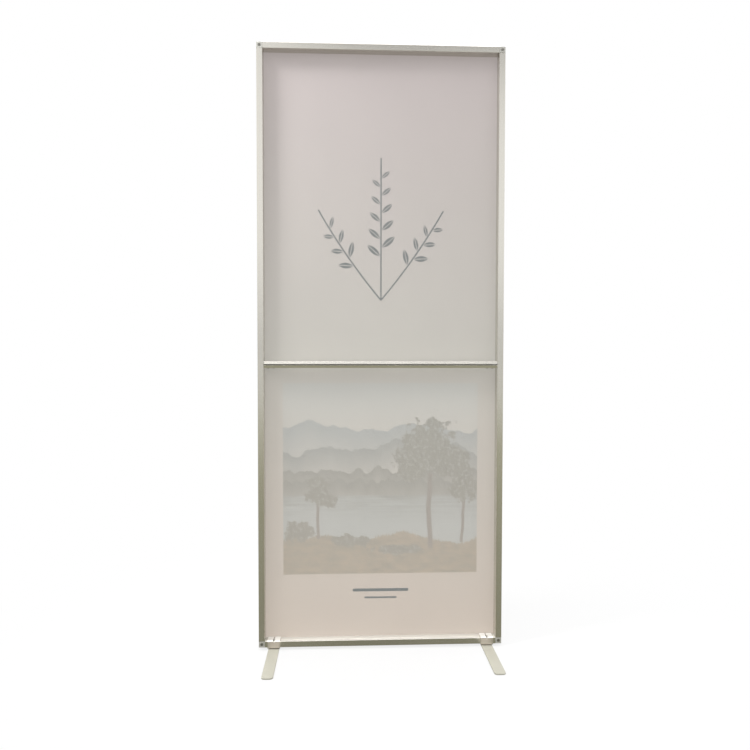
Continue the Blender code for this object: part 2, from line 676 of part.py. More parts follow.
def main():
    clear_scene()
    make_sides()
    make_corners()
    make_fabric()
    make_crossbar()
    for side, x in (("left", -FOOT_X), ("right", FOOT_X)):
        make_clamp(side, x)
        make_foot(side, x)


main()
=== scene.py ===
"""Dresses the fabric frame banner stand: its stretched print, satin metal, coated feet and a plain studio.

Lengths are in metres and +Z is up. For someone behind the stand, +X is to the right and +Y points through
the frame to the printed front. The floor is at zero.
"""

import json
import math
from functools import partial

import bpy
from bpy.props import FloatProperty, FloatVectorProperty, IntProperty, PointerProperty
from mathutils import Euler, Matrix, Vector, noise


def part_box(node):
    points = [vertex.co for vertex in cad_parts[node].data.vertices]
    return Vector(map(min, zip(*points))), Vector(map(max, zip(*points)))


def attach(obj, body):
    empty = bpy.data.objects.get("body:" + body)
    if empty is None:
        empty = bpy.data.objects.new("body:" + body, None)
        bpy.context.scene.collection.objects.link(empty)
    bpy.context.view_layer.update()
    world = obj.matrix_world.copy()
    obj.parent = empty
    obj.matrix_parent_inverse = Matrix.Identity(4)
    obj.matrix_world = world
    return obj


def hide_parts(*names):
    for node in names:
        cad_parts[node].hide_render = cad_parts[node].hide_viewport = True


bl_info = {
    "name": "Fabric frame banner stand",
    "version": (1, 0, 0),
    "blender": (4, 5, 0),
    "location": "View3D > Sidebar > Banner stand",
    "description": "Adds the fabric, finishes and studio of a fabric frame banner stand",
    "category": "Object",
}

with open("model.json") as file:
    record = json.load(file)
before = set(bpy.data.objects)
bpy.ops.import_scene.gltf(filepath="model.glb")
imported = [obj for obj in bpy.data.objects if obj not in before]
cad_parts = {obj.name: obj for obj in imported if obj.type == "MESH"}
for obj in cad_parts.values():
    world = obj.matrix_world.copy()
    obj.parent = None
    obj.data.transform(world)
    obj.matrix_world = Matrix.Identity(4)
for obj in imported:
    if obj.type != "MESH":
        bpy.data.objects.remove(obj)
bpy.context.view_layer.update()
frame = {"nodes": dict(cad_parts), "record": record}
PANEL_LOW, PANEL_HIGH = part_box("fabric_panel")
CROSSBAR_LOW, CROSSBAR_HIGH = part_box("crossbar")
STRIP_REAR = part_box("silicone_edge_top")[0].y
FRAME_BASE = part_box("corner_block_bottom_left")[0].z
BODY_OF = {node: body for body, nodes in frame["record"]["behaviour"]["bodies"].items() for node in nodes}

# The picture on the print: its half width, and its height above the frame's lower edge
PICTURE_HALF_WIDTH = 0.330
PICTURE_BASE = FRAME_BASE + 0.235
PICTURE_TOP = FRAME_BASE + 0.885

# Two plain rules under the picture: level, length and height
RULES = ((FRAME_BASE + 0.178, 0.190, 0.010), (FRAME_BASE + 0.152, 0.110, 0.006))

# How much of the light that meets the cloth goes through each of its two faces, and how deeply each of them
# tints it, from 0 to 1: more on the front, where the ink lies
PASSED_SHARE = 0.6
BACK_TINT = 0.3
FRONT_TINT = 0.5
# Darkest and lightest shade of the cloth's slow clouding and of its loops
CLOUD_SHADE = (0.975, 1.02)
KNIT_SHADE = (0.97, 1.03)

# The ornament of leafy sprigs: where they spring from, then each one's lean and length
SPRIG_FOOT = (0.0, FRAME_BASE + 1.165)
SPRIGS = ((-0.70, 0.365), (0.0, 0.475), (0.70, 0.365))
STEM_BEND = 0.35
STEM_HALF_WIDTH = 0.0024
# Leaves, counted in spacings from the foot: the first one, and how much of the tip is bare
FIRST_LEAF = 3
BARE_TIP = 0.9
LEAF_SPACING = 0.058
LEAF_LEAN = 0.86
LEAF_LENGTH = 0.074
LEAF_HALF_WIDTH = 0.0125
VEIN_HALF_WIDTH = 0.0011
# A leaf's middle lies this many half lengths from the stem, and leaves shrink to this size at the tip
LEAF_MIDDLE = 1.12
TIP_LEAF_SIZE = 0.42

# Motifs of the picture, in metres from its lower left corner

# Hills and far woods: ink, level, relief, length of their waves, and depth of the mist below them
RIDGES = (
    ("far_hills", 0.500, 0.048, 0.330, 0.150),
    ("near_hills", 0.428, 0.034, 0.170, 0.120),
    ("woods", 0.352, 0.016, 0.060, 0.110),
    ("woods", 0.318, 0.013, 0.034, 0.150),
)
MIST_SHARE = 0.85
# The level at which the sky has faded to mist
SKY_BASE = 0.45
# The lake: level of its far shore, size of its streaks, and how far and how strongly it mirrors the woods
SHORE = 0.268
STREAK = (0.13, 0.009)
REFLECTION = (0.10, 0.8)
# The near bank: level, relief and length of its waves, then height and spacing of its blades, and its tufts
BANK = (0.118, 0.030, 0.300)
BLADES = (0.006, 0.0045)
TUFT = (0.045, 0.018)
# Trees: place and half width of the trunk, its foot and top, then each crown's middle and half sizes
TREES = (
    (0.498, 0.0080, 0.085, 0.345, (
        (0.498, 0.435, 0.092, 0.090),
        (0.438, 0.370, 0.064, 0.054),
        (0.566, 0.378, 0.070, 0.060),
    )),
    (0.612, 0.0050, 0.105, 0.265, ((0.612, 0.300, 0.046, 0.052),)),
    (0.118, 0.0050, 0.120, 0.245, ((0.118, 0.285, 0.044, 0.050), (0.154, 0.252, 0.032, 0.030))),
)
# How far the trunks sway, and the length of their waves
SWAY = (0.006, 0.13)
# Shrubs, each given as a crown is
SHRUBS = ((0.050, 0.145, 0.052, 0.034), (0.226, 0.112, 0.066, 0.022), (0.380, 0.082, 0.080, 0.018))
# Foliage: size of its clumps and gaps, and how much softer than other ink its edge is
CLUMP = 0.034
LEAF_GAP = 0.012
CROWN_SOFTNESS = 60.0
# In shares of a crown's half size: how ragged it is, how crowns blend, their reach, and far outside them
RAGGED = 0.9
CROWN_BLEND = 0.2
CROWN_REACH = 1.4
OUTSIDE = 9.0

# Metal: width and share of its broad marks
MARK_WIDTH = 0.11
MARK_SHARE = 0.45
# How far up a face looks, from 0 to 1, where dust and painted overhead light start and where they are whole,
# and how metallic the face is then
TOP_DUST_AND_LIGHT_START = 0.6
TOP_DUST_AND_LIGHT_WHOLE = 0.95
TOP_DUST_AND_LIGHT_METALLIC = 0.15

# Copies of construction pieces: the gap that is closed, and the angles up to which faces are one flat face,
# past which their edge is rounded, and up to which they are shaded as one
MERGE_GAP = 0.000002
FLAT_ANGLE = math.radians(0.5)
EDGE_ANGLE = math.radians(40)
SMOOTH_ANGLE = math.radians(35)

WHITE = (1.0, 1.0, 1.0, 1.0)
# Settings of a ramp with soft ends
SMOOTH = {"interpolation_type": "SMOOTHSTEP"}

# The floor that the camera sees: how much thin paint scatters, the even white under it, and where it fades
FLOOR_PAINT = (0.17, 0.17, 0.17, 1.0)
FLOOR_WHITE = 0.79
FLOOR_FADE = (0.6, 1.5)

# The carpet that metal mirrors: width, height over the floor, brightness near the stand and its growth, which
# paints the stand's shade darker near it
CARPET_SIZE = 18.0
CARPET_LEVEL = 0.0006
CARPET_NEAR_SHADED = 0.75
CARPET_SHADE_FADE = 0.38

# The room that metal mirrors: where its parts begin and end, by how far a ray rises, from -1 to 1
HORIZON = (-0.03, 0.13)
WALL_BASE = (0.35, 0.45)
WALL_TOP = (0.62, 0.74)
CEILING_EDGE = (0.77, 0.96)
# Where the dark wall starts and where it turns lighter, by how far a ray goes to the right, from -1 to 1
WALL_START = (-0.12, 0.01)
WALL_CHANGE = (0.16, 0.27)
# How much brighter than white the room is, and how much darker than the room its parts are
ROOM_EXTRA = 0.22
HORIZON_GREY = 0.70
DARK_WALL = 1.20
LIGHT_WALL = 0.72


def linear(hex_colour):
    """Linear red, green, blue and alpha of an sRGB hex colour."""
    shares = [int(hex_colour[place:place + 2], 16) / 255 for place in (1, 3, 5)]
    return (*[s / 12.92 if s <= 0.04045 else ((s + 0.055) / 1.055) ** 2.4 for s in shares], 1.0)


def numbers(name, default, description, **kind):
    """A place, three angles or a colour that a user can change."""
    return FloatVectorProperty(name=name, description=description, default=default, **kind)


def colour(name, hex_colour, description):
    """A colour that a user can change."""
    return numbers(name, linear(hex_colour), description, size=4, min=0.0, max=1.0, subtype="COLOR")


def amount(name, default, description, **kind):
    """A number that a user can change."""
    return FloatProperty(name=name, description=description, default=default, **kind)


def length(name, default, description):
    """A length that a user can change."""
    return amount(name, default, description, precision=5, unit="LENGTH")


class FabricSettings(bpy.types.PropertyGroup):
    """Sizes of the stretched cloth."""

    thickness: length("Thickness", 0.00035, "Thickness of the knitted cloth")
    fold_radius: length("Fold radius", 0.0005, "Radius where the cloth turns into the groove")
    slack: length("Slack", 0.0011, "How far the cloth's faint waves stand out")
    wave_length: length("Wave length", 0.17, "Distance from one faint wave to the next")
    columns: IntProperty(name="Columns", description="Cells across the cloth", default=96)
    rows: IntProperty(name="Rows", description="Cells up the cloth", default=236)


class PrintSettings(bpy.types.PropertyGroup):
    """Cloth tones and inks of the print."""

    # From top to base the cloth's tone grows lighter: painted shade at the top and painted light at the base
    cloth_top_with_painted_shade: colour("Cloth, top", "#d4cbca", "The cloth's tone at the top")
    cloth_middle: colour("Cloth, middle", "#d5d2cb", "The cloth's tone at half height")
    cloth_base_with_painted_light: colour("Cloth, base", "#e1d6cb", "The cloth's tone at the base")
    ornament: colour("Ornament", "#4b5960", "Ink of the sprigs and the rules")
    sky: colour("Sky", "#d5dcdc", "Ink of the sky")
    mist: colour("Mist", "#e0ddd5", "Ink of the mist under the hills")
    far_hills: colour("Far hills", "#8fa3ab", "Ink of the far hills")
    near_hills: colour("Near hills", "#657b80", "Ink of the near hills")
    woods: colour("Woods", "#3c534d", "Ink of the far woods")
    water: colour("Water", "#b7c6c9", "Ink of the lake")
    ground: colour("Ground", "#a98f63", "Ink of the dry ground")
    grass: colour("Grass", "#5b5a33", "Ink of the grass")
    leaves: colour("Leaves", "#2f452d", "Ink of the leaves")
    trunk: colour("Trunk", "#3e3329", "Ink of the trunks")
    show_through: amount("Show through", 0.37, "How much of the print shows on the back", subtype="FACTOR")
    front_blur: length("Front blur", 0.0004, "Softness of the print's edges on the front")
    back_blur: length("Back blur", 0.0013, "Softness of the print's edges on the back")


class MetalSettings(bpy.types.PropertyGroup):
    """Colours and roundings of the metal and moulded pieces."""

    rail_edge: length("Rail edge", 0.00025, "Rounding of the extrusions' sharp edges")
    block_edge: length("Block edge", 0.0003, "Rounding of the cast blocks' edges")
    plate_edge: length("Plate edge", 0.0007, "Rounding of the feet's edges")
    screw_edge: length("Screw edge", 0.0002, "Rounding of the screw heads' edges")
    aluminium: colour("Aluminium", "#d3d0c8", "Anodised rails, stiles and crossbar")
    # The slot colour is painted shade for the inside of the deep slot
    slot: colour("Slot", "#8a8780", "Dusty inside of the crossbar's slot")
    bar: colour("Joiner bars", "#d2d2d2", "Bare aluminium bars inside the corners")
    cast: colour("Corner blocks", "#c4c3bd", "Die-cast corner blocks")
    angle: colour("Angles", "#a8a6a0", "Plated angles inside the crossbar")
    screw: colour("Screws", "#8f8d87", "Plated screws")
    clamp: colour("Clamps", "#dbd3cb", "Plated clamps under the frame")
    coat: colour("Feet", "#bfbdb0", "Powder coat of the feet")
    nylon: colour("Washers", "#ebe7dd", "Natural nylon washers")
    silicone: colour("Silicone", "#e1e0dc", "Silicone strips along the cloth's edges")
    # Pale dust colour, which also paints the overhead light's highlight on faces that look up
    dust: colour("Dust", "#faf9f5", "Pale dust on faces that look up")


class StageSettings(bpy.types.PropertyGroup):
    """Camera, light and floor."""

    camera_place: numbers("Camera", (-0.1231, -2.2796, 0.9983), "Where the camera stands", unit="LENGTH")
    camera_turn: numbers(
        "Camera turn",
        (math.radians(1.896), math.radians(2.576), math.radians(-0.067)),
        "How far the camera looks down, turns to the right, and leans to the right",
        unit="ROTATION",
    )
    lens: amount("Lens", 32.64, "Focal length", unit="CAMERA")
    lamp_place: numbers("Lamp", (-1.55, -0.65, 3.0), "Where the ceiling lamp hangs", unit="LENGTH")
    lamp_target: numbers("Lamp target", (-0.35, 0.0, 1.45), "What the ceiling lamp points at", unit="LENGTH")
    lamp_spread: amount("Lamp spread", math.radians(75), "Width of the lamp's beam", unit="ROTATION")
    lamp_size: length("Lamp size", 0.6, "Width of the square ceiling lamp")
    lamp_power: amount("Lamp power", 9.0, "Power of the ceiling lamp", unit="POWER")
    fill: amount("Fill", 0.83, "Brightness of the light from the side")
    overhead: amount("Overhead", 0.7, "How much brighter the light from overhead is")
    ceiling: amount("Ceiling", 7.0, "Extra brightness of the ceiling in metal")
    floor_size: length("Floor", 60.0, "Width of the floor")
    floor_bounce: colour("Floor bounce", "#8d8a80", "The floor as it lights the stand from below")
    carpet: colour("Carpet", "#92917d", "The dull carpet that the metal mirrors")


def fill_socket(socket, value):
    """Sets a socket, or links it to another node's output."""
    if isinstance(value, bpy.types.NodeSocket):
        socket.id_data.links.new(value, socket)
    else:
        socket.default_value = value


def add_node(tree, kind, inputs=(), output=None, **settings):
    """Adds a node with its settings and links, and gives one of its outputs.

    The inputs are values or other nodes' outputs, by name, or in the order of the sockets in use.
    """
    made = tree.nodes.new(kind)
    for name, value in settings.items():
        setattr(made, name, value)
    if isinstance(inputs, dict):
        pairs = [(made.inputs[name], value) for name, value in inputs.items()]
    else:
        pairs = zip([socket for socket in made.inputs if socket.enabled], inputs)
    for socket, value in pairs:
        fill_socket(socket, value)
    return made.outputs[output] if output else next(each for each in made.outputs if each.enabled)


def new_material(name):
    """A material, its Principled shader, and the function that adds nodes to it."""
    material = bpy.data.materials.new(name)
    material.use_nodes = True
    tree = material.node_tree
    return material, tree.nodes["Principled BSDF"], partial(add_node, tree)


def set_sockets(shader, **values):
    """Sets or links a shader's sockets, named with underscores for spaces."""
    for name, value in values.items():
        fill_socket(shader.inputs[name.replace("_", " ")], value)


def grain(add, spacing, detail=2.0, roughness=0.5):
    """Noise from 0 to 1, whose grains are the given number of metres along X, Y and Z."""
    place = add("ShaderNodeTexCoord", output="Object")
    scaled = add("ShaderNodeVectorMath", (place, [1 / size for size in spacing]), operation="MULTIPLY")
    inputs = {"Vector": scaled, "Scale": 1.0, "Detail": detail, "Roughness": roughness}
    return add("ShaderNodeMapRange", (add("ShaderNodeTexNoise", inputs), 0.3, 0.7))


def tinted(add, tone, share, spread):
    """A tone that grows lighter and darker by a share from 0 to 1."""
    dark = [part * (1 - spread) for part in tone[:3]] + [1.0]
    light = [part * (1 + spread) for part in tone[:3]] + [1.0]
    return add("ShaderNodeMix", (share, dark, light), data_type="RGBA")


def finish_metal(add, shader, lines, tone, spread, rough, relief, metallic=1.0, dusty=0.1):
    """Colour, roughness and relief that follow one grain over broad marks, with dust and painted overhead
    light on faces that look up.

    Dust and a painted highlight of the overhead light make a face that looks up paler and less of a mirror.
    How much of them it gets runs from 0 to 1.
    """
    # The pale colour on faces that look up is dust and painted overhead light
    dust = bpy.context.scene.banner_metal.dust
    broad = grain(add, (MARK_WIDTH, MARK_WIDTH, MARK_WIDTH), detail=4.0)
    marks = add("ShaderNodeMath", (broad, MARK_SHARE), operation="MULTIPLY")
    share = add("ShaderNodeMath", (lines, 1 - MARK_SHARE, marks), operation="MULTIPLY_ADD")
    up = add("ShaderNodeSeparateXYZ", (add("ShaderNodeNewGeometry", output="Normal"),), output="Z")
    dust_and_top_light_share = add("ShaderNodeMapRange", (up, TOP_DUST_AND_LIGHT_START, TOP_DUST_AND_LIGHT_WHOLE, 0.0, dusty))
    clean = tinted(add, tone, share, spread)
    set_sockets(
        shader,
        Base_Color=add("ShaderNodeMix", (dust_and_top_light_share, clean, dust), data_type="RGBA"),
        Metallic=add("ShaderNodeMapRange", (up, TOP_DUST_AND_LIGHT_START, TOP_DUST_AND_LIGHT_WHOLE, metallic, TOP_DUST_AND_LIGHT_METALLIC)),
        Roughness=add("ShaderNodeMapRange", (share, 0.0, 1.0, *rough)),
        Normal=add("ShaderNodeBump", {"Height": lines, "Distance": relief}),
    )


def anodised_aluminium(name, tone, along):
    """Anodised aluminium extrusion: fine die lines stretch its highlights, and its skin scatters a little."""
    material, shader, add = new_material(name)
    spacing = [0.0009, 0.0009, 0.0009]
    spacing[along] = 0.35
    lines = grain(add, spacing, detail=3.0)
    finish_metal(add, shader, lines, tone, spread=0.02, rough=(0.18, 0.26), relief=0.00001, metallic=0.92)
    direction = [0.0, 0.0, 0.0]
    direction[along] = 1.0
    normal = add("ShaderNodeNewGeometry", output="Normal")
    across = add("ShaderNodeVectorMath", (direction, normal), operation="CROSS_PRODUCT")
    set_sockets(shader, Anisotropic=0.2, Tangent=across)
    return material


def dusty_aluminium(name, tone):
    """The inside of a narrow slot: the same oxide skin, with painted shade that makes it darker and duller
    deep in the slot.
    """
    material, shader, add = new_material(name)
    # The mottled grain below darkens the slot's inside as painted shade
    dust = grain(add, (0.012, 0.0015, 0.0015), detail=5.0, roughness=0.6)
    rough = add("ShaderNodeMapRange", (dust, 0.0, 1.0, 0.6, 0.8))
    set_sockets(shader, Base_Color=tinted(add, tone, dust, spread=0.12), Metallic=0.4, Roughness=rough)
    return material


def cast_zinc(name, tone):
    """Die-cast zinc: a dull skin with a fine pitted grain from the mould."""
    material, shader, add = new_material(name)
    pits = grain(add, (0.0007, 0.0007, 0.0007), detail=5.0, roughness=0.6)
    finish_metal(add, shader, pits, tone, spread=0.04, rough=(0.42, 0.55), relief=0.00004, metallic=0.25)
    return material


def zinc_plated_steel(name, tone, **finish):
    """Zinc-plated steel: a bright skin with a faint crystal bloom and soft rolling marks."""
    material, shader, add = new_material(name)
    bloom = grain(add, (0.0016, 0.0016, 0.0011), detail=4.0, roughness=0.65)
    finish_metal(add, shader, bloom, tone, spread=0.05, rough=(0.28, 0.42), relief=0.00002, **finish)
    return material


def mill_aluminium(name, tone):
    """Mill-finish aluminium bar: bare, with coarse drawing lines."""
    material, shader, add = new_material(name)
    lines = grain(add, (0.004, 0.0008, 0.004), detail=3.0)
    finish_metal(add, shader, lines, tone, spread=0.05, rough=(0.35, 0.5), relief=0.00002)
    return material


def powder_coated_steel(name, tone):
    """Powder-coated steel: a thick pale coat with a fine orange-peel skin, a little dusty from the floor."""
    material, shader, add = new_material(name)
    peel = grain(add, (0.0022, 0.0022, 0.0022))
    dust = grain(add, (0.05, 0.09, 0.05), detail=6.0, roughness=0.6)
    set_sockets(
        shader,
        Base_Color=tinted(add, tone, dust, spread=0.05),
        Roughness=add("ShaderNodeMapRange", (dust, 0.0, 1.0, 0.42, 0.58)),
        Normal=add("ShaderNodeBump", {"Height": peel, "Distance": 0.00004}),
    )
    return material


def moulded(name, tone, rough):
    """Moulded nylon or silicone: an even, slightly cloudy body colour with a soft satin skin."""
    material, shader, add = new_material(name)
    cloud = grain(add, (0.003, 0.003, 0.003), detail=3.0)
    skin = add("ShaderNodeMapRange", (cloud, 0.0, 1.0, rough - 0.05, rough + 0.05))
    set_sockets(shader, Base_Color=tinted(add, tone, cloud, spread=0.03), Roughness=skin)
    return material


class Print:
    """Draws the generic print from a point's place on the cloth, each part laid over those before it."""

    def __init__(self, add, inks, strength, blur):
        self.add = add
        self.inks = inks
        self.strength = strength
        self.blur = blur
        place = add("ShaderNodeTexCoord", output="Object")
        across = add("ShaderNodeSeparateXYZ", (place,), output="X")
        self.z = add("ShaderNodeSeparateXYZ", (place,), output="Z")
        self.flat = add("ShaderNodeCombineXYZ", (across, self.z, 0.0))
        corner = (-PICTURE_HALF_WIDTH, PICTURE_BASE, 0.0)
        self.spot = add("ShaderNodeVectorMath", (self.flat, corner), operation="SUBTRACT")
        self.u = add("ShaderNodeSeparateXYZ", (self.spot,), output="X")
        self.v = add("ShaderNodeSeparateXYZ", (self.spot,), output="Y")

    def ink(self, name):
        """An ink as it shows: whole on the front, and faint through the cloth."""
        pairs = zip(self.inks.cloth_middle, getattr(self.inks, name))
        return [cloth + (ink - cloth) * self.strength for cloth, ink in pairs]

    def lay(self, below, tone, reach, softness=1.0):
        """Lays a tone over what is below, wherever the reach is under zero, with a soft edge."""
        blur = self.blur * softness
        share = self.add("ShaderNodeMapRange", (reach, blur, -blur), **SMOOTH)
        return self.add("ShaderNodeMix", (share, below, tone), data_type="RGBA")

    def bar(self, centre, half, radius):
        """How far a point lies outside a bar with round corners."""
        add = self.add
        off = add("ShaderNodeVectorMath", (self.flat, (*centre, 0.0)), operation="SUBTRACT")
        size = add("ShaderNodeVectorMath", (off,), operation="ABSOLUTE")
        core = (half[0] - radius, half[1] - radius, 0.0)
        past = add("ShaderNodeVectorMath", (size, core), operation="SUBTRACT")
        past = add("ShaderNodeVectorMath", (past, (0.0, 0.0, 0.0)), operation="MAXIMUM")
        reach = add("ShaderNodeVectorMath", (past,), operation="LENGTH")
        return add("ShaderNodeMath", (reach, radius), operation="SUBTRACT")

    def sprig(self, lean, tall):
        """How far a point lies outside a sprig: a curved stem, with veined leaves in turn on each side."""
        add = self.add
        foot = (*SPRIG_FOOT, 0.0)
        inputs = {"Vector": self.flat, "Center": foot, "Angle": lean}
        turned = add("ShaderNodeVectorRotate", inputs, rotation_type="Z_AXIS")
        off = add("ShaderNodeVectorMath", (turned, foot), operation="SUBTRACT")
        up = add("ShaderNodeSeparateXYZ", (off,), output="Y")
        bend = add("ShaderNodeMath", (up, up), operation="MULTIPLY")
        side = add("ShaderNodeSeparateXYZ", (off,), output="X")
        side = add("ShaderNodeMath", (bend, STEM_BEND * lean, side), operation="MULTIPLY_ADD")
        out = add("ShaderNodeMath", (side,), operation="ABSOLUTE")
        left = add("ShaderNodeMath", (side, 0.0), operation="LESS_THAN")
        stagger = add("ShaderNodeMath", (left, 0.5), operation="MULTIPLY")
        count = add("ShaderNodeMath", (up, 1 / LEAF_SPACING, stagger), operation="MULTIPLY_ADD")
        number = add("ShaderNodeMath", (count,), operation="FLOOR")
        size = add("ShaderNodeMapRange", (number, 0.0, tall / LEAF_SPACING, 1.0, TIP_LEAF_SIZE))
        rise = add("ShaderNodeMath", (count, number), operation="SUBTRACT")
        rise = add("ShaderNodeMath", (rise, LEAF_SPACING), operation="MULTIPLY")
        # Along and across the leaf, which leans out from the stem
        out_share = add("ShaderNodeMath", (out, math.sin(LEAF_LEAN)), operation="MULTIPLY")
        along = add("ShaderNodeMath", (rise, math.cos(LEAF_LEAN), out_share), operation="MULTIPLY_ADD")
        rise_share = add("ShaderNodeMath", (rise, -math.sin(LEAF_LEAN)), operation="MULTIPLY")
        across = add("ShaderNodeMath", (out, math.cos(LEAF_LEAN), rise_share), operation="MULTIPLY_ADD")
        across = add("ShaderNodeMath", (across,), operation="ABSOLUTE")
        # A leaf is widest in its middle, and its sides are parabolas that meet at its ends
        along = add("ShaderNodeMath", (along, size), operation="DIVIDE")
        from_middle = add("ShaderNodeMath", (along, 2 / LEAF_LENGTH, -LEAF_MIDDLE), operation="MULTIPLY_ADD")
        square = add("ShaderNodeMath", (from_middle, from_middle), operation="MULTIPLY")
        width = add("ShaderNodeMath", (square, -LEAF_HALF_WIDTH, LEAF_HALF_WIDTH), operation="MULTIPLY_ADD")
        width = add("ShaderNodeMath", (width, size), operation="MULTIPLY")
        leaf = add("ShaderNodeMath", (across, width), operation="SUBTRACT")
        vein = add("ShaderNodeMath", (VEIN_HALF_WIDTH, across), operation="SUBTRACT")
        leaf = add("ShaderNodeMath", (leaf, vein), operation="MAXIMUM")
        too_low = add("ShaderNodeMath", (FIRST_LEAF - 0.5, number), operation="SUBTRACT")
        leaf = add("ShaderNodeMath", (leaf, too_low), operation="MAXIMUM")
        too_high = add("ShaderNodeMath", (number, tall / LEAF_SPACING - BARE_TIP), operation="SUBTRACT")
        leaf = add("ShaderNodeMath", (leaf, too_high), operation="MAXIMUM")
        stem = add("ShaderNodeMath", (out, STEM_HALF_WIDTH), operation="SUBTRACT")
        shape = add("ShaderNodeMath", (leaf, stem), operation="MINIMUM")
        from_centre = add("ShaderNodeMath", (up, tall / 2), operation="SUBTRACT")
        past = add("ShaderNodeMath", (from_centre,), operation="ABSOLUTE")
        past = add("ShaderNodeMath", (past, tall / 2), operation="SUBTRACT")
        return add("ShaderNodeMath", (shape, past), operation="MAXIMUM")

    def waves(self, along, size, detail, seed):
        """Random waves along a line, from about -1 to 1, each of about the given length."""
        shifted = self.add("ShaderNodeMath", (along, seed), operation="ADD")
        inputs = {"W": shifted, "Scale": 1 / size, "Detail": detail, "Roughness": 0.5}
        wave = self.add("ShaderNodeTexNoise", inputs, noise_dimensions="1D")
        return self.add("ShaderNodeMath", (wave, 4.0, -2.0), operation="MULTIPLY_ADD")

    def patches(self, width, height, detail):
        """Random patches of about the given size, from 0 to 1."""
        share = (1 / width, 1 / height, 1.0)
        scaled = self.add("ShaderNodeVectorMath", (self.flat, share), operation="MULTIPLY")
        inputs = {"Vector": scaled, "Scale": 1.0, "Detail": detail, "Roughness": 0.6}
        patch = self.add("ShaderNodeTexNoise", inputs, noise_dimensions="2D")
        return self.add("ShaderNodeMapRange", (patch, 0.3, 0.7))

    def ridges(self, picture):
        """Hills and far woods, each paler with mist towards its foot."""
        add = self.add
        for row, (ink, level, relief, size, misty) in enumerate(RIDGES):
            broad = self.waves(self.u, size, detail=4.0, seed=0.7 * row + 3.1)
            ridge = add("ShaderNodeMath", (broad, relief, level), operation="MULTIPLY_ADD")
            depth = add("ShaderNodeMath", (ridge, self.v), operation="SUBTRACT")
            mist = add("ShaderNodeMapRange", (depth, 0.0, misty, 0.0, MIST_SHARE))
            tone = add("ShaderNodeMix", (mist, self.ink(ink), self.ink("mist")), data_type="RGBA")
            reach = add("ShaderNodeMath", (depth, -1.0), operation="MULTIPLY")
            picture = self.lay(picture, tone, reach)
        return picture

    def water(self, picture):
        """The lake, which mirrors the woods near its far shore in broken streaks."""
        add = self.add
        depth, most = REFLECTION
        streaks = self.patches(*STREAK, detail=3.0)
        reach = add("ShaderNodeMath", (self.v, SHORE), operation="SUBTRACT")
        mirrored = add("ShaderNodeMapRange", (reach, -depth, 0.0, 0.0, most))
        share = add("ShaderNodeMath", (streaks, mirrored), operation="MULTIPLY")
        tone = add("ShaderNodeMix", (share, self.ink("water"), self.ink("woods")), data_type="RGBA")
        return self.lay(picture, tone, reach)

    def bank(self, picture):
        """The near bank, with tufts of grass on dry ground and blades along its edge."""
        add = self.add
        level, relief, size = BANK
        tall, spacing = BLADES
        swell = self.waves(self.u, size, detail=3.0, seed=1.9)
        broad = add("ShaderNodeMath", (swell, relief, level), operation="MULTIPLY_ADD")
        blades = self.waves(self.u, spacing, detail=3.0, seed=0.4)
        ridge = add("ShaderNodeMath", (blades, tall, broad), operation="MULTIPLY_ADD")
        tufts = self.patches(*TUFT, detail=8.0)
        tone = add("ShaderNodeMix", (tufts, self.ink("ground"), self.ink("grass")), data_type="RGBA")
        return self.lay(picture, tone, add("ShaderNodeMath", (self.v, ridge), operation="SUBTRACT"))

    def foliage(self, picture, crowns, ragged):
        """Leafy crowns with a broken outline and light gaps among the leaves."""
        add = self.add
        reach = OUTSIDE
        for across, up, half_width, half_height in crowns:
            off = add("ShaderNodeVectorMath", (self.spot, (across, up, 0.0)), operation="SUBTRACT")
            share = (1 / half_width, 1 / half_height, 0.0)
            off = add("ShaderNodeVectorMath", (off, share), operation="MULTIPLY")
            away = add("ShaderNodeVectorMath", (off,), operation="LENGTH")
            reach = add("ShaderNodeMath", (reach, away, CROWN_BLEND), operation="SMOOTH_MIN")
        reach = add("ShaderNodeMath", (ragged, RAGGED, reach), operation="MULTIPLY_ADD")
        reach = add("ShaderNodeMath", (reach, CROWN_REACH), operation="SUBTRACT")
        specks = self.patches(LEAF_GAP, LEAF_GAP, detail=5.0)
        gaps = add("ShaderNodeMapRange", (specks, 0.55, 1.0, 0.0, 0.5))
        tone = add("ShaderNodeMix", (gaps, self.ink("leaves"), self.ink("sky")), data_type="RGBA")
        return self.lay(picture, tone, reach, CROWN_SOFTNESS)

    def trees(self, picture):
        """Leafy trees and shrubs on the near bank."""
        add = self.add
        far, size = SWAY
        ragged = self.patches(CLUMP, CLUMP, detail=8.0)
        for place, half_width, foot, top, crowns in TREES:
            sway = self.waves(self.v, size, detail=1.0, seed=place)
            middle = add("ShaderNodeMath", (sway, far, place), operation="MULTIPLY_ADD")
            off = add("ShaderNodeMath", (self.u, middle), operation="SUBTRACT")
            off = add("ShaderNodeMath", (off,), operation="ABSOLUTE")
            side = add("ShaderNodeMath", (off, half_width), operation="SUBTRACT")
            below = add("ShaderNodeMath", (foot, self.v), operation="SUBTRACT")
            above = add("ShaderNodeMath", (self.v, top), operation="SUBTRACT")
            ends = add("ShaderNodeMath", (below, above), operation="MAXIMUM")
            reach = add("ShaderNodeMath", (side, ends), operation="MAXIMUM")
            picture = self.lay(picture, self.ink("trunk"), reach)
            picture = self.foliage(picture, crowns, ragged)
        return self.foliage(picture, SHRUBS, ragged)

    def picture(self):
        """A lake among hills, with leafy trees on the near bank."""
        glow = self.add("ShaderNodeMapRange", (self.v, PICTURE_TOP - PICTURE_BASE, SKY_BASE, 0.0, 1.0))
        picture = self.add("ShaderNodeMix", (glow, self.ink("sky"), self.ink("mist")), data_type="RGBA")
        for part in (self.ridges, self.water, self.bank, self.trees):
            picture = part(picture)
        return picture

